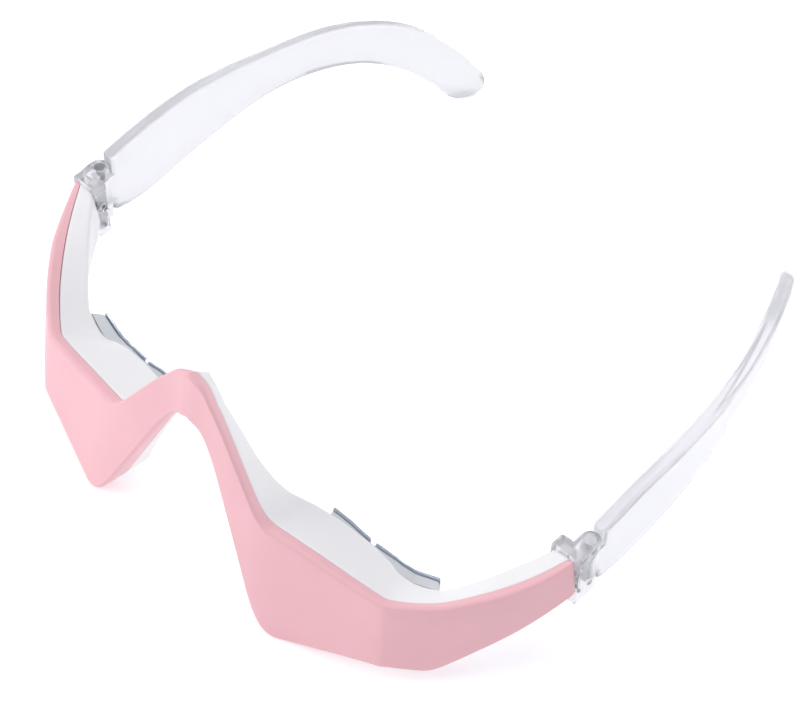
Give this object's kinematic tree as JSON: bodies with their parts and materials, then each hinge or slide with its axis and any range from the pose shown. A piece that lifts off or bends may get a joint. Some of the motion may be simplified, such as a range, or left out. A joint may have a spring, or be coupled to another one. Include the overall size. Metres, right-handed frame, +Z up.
{
  "type": "eye massager mask",
  "caption": "Wearable eye massager mask: angular two-part frame with a nose bridge, metal skin plates behind the cheeks, and clear folding temple arms.",
  "frame": {"origin": "middle of the outline on the surface that the mask stands on", "axes": "+X to the wearer's left side seen from the front as the right, +Y from the front cover towards the ear ends of the arms, +Z up"},
  "size_m": [0.1554, 0.1556, 0.0594],
  "materials": {
    "soft_touch_pink": "soft-touch matte",
    "satin_white": "satin",
    "pale_grey_plastic": "satin",
    "clear_plastic": "polished, clear",
    "steel": "machined",
    "polished_steel": "polished",
    "circuit_board": "solder mask",
    "black_plastic": "moulded",
    "light_chip": "clear resin",
    "foil": "foil pouch",
    "foam_tape": "foam",
    "amber_film": "polyimide film"
  },
  "bodies": {
    "mask": {"battery": "foil", "battery_tape": "foam_tape", "board_chips": "black_plastic", "board_screws": "steel", "bridge_ribbon": "amber_film", "charging_port": "steel", "electrode_studs": "steel", "front_cover": "soft_touch_pink", "hinge_dowels": "steel", "hinge_screws": "steel", "left_electrode_pad": "pale_grey_plastic", "left_hinge_block": "clear_plastic", "left_hinge_pin": "steel", "left_inner_plate": "polished_steel", "left_outer_plate": "polished_steel", "left_vibration_motor": "steel", "main_board": "circuit_board", "port_tongue": "black_plastic", "rear_shell": "satin_white", "right_electrode_pad": "pale_grey_plastic", "right_hinge_block": "clear_plastic", "right_hinge_pin": "steel", "right_inner_plate": "polished_steel", "right_outer_plate": "polished_steel", "right_vibration_motor": "steel", "shell_screws": "steel", "status_light": "light_chip", "status_light_pipe": "clear_plastic", "switch_body": "black_plastic"},
    "right_arm": {"right_temple_arm": "clear_plastic"},
    "left_arm": {"left_temple_arm": "clear_plastic"},
    "button": {"power_button": "satin_white", "switch_plunger": "black_plastic"}
  },
  "joints": [
    {"name": "right_temple_fold", "type": "hinge", "parent": "mask", "child": "right_arm", "pos_m": [0.0752, -0.02895, 0.025], "axis": [0, 0, 1], "range_deg": [0, 80]},
    {"name": "left_temple_fold", "type": "hinge", "parent": "mask", "child": "left_arm", "pos_m": [-0.0752, -0.02895, 0.025], "axis": [0, 0, -1], "range_deg": [0, 70]},
    {"name": "power_button_press", "type": "slide", "parent": "mask", "child": "button", "axis": [-0.0492, 0.1693, 0.9843], "range_m": [0, 0.0004], "stiffness_N_per_m": 400}
  ]
}
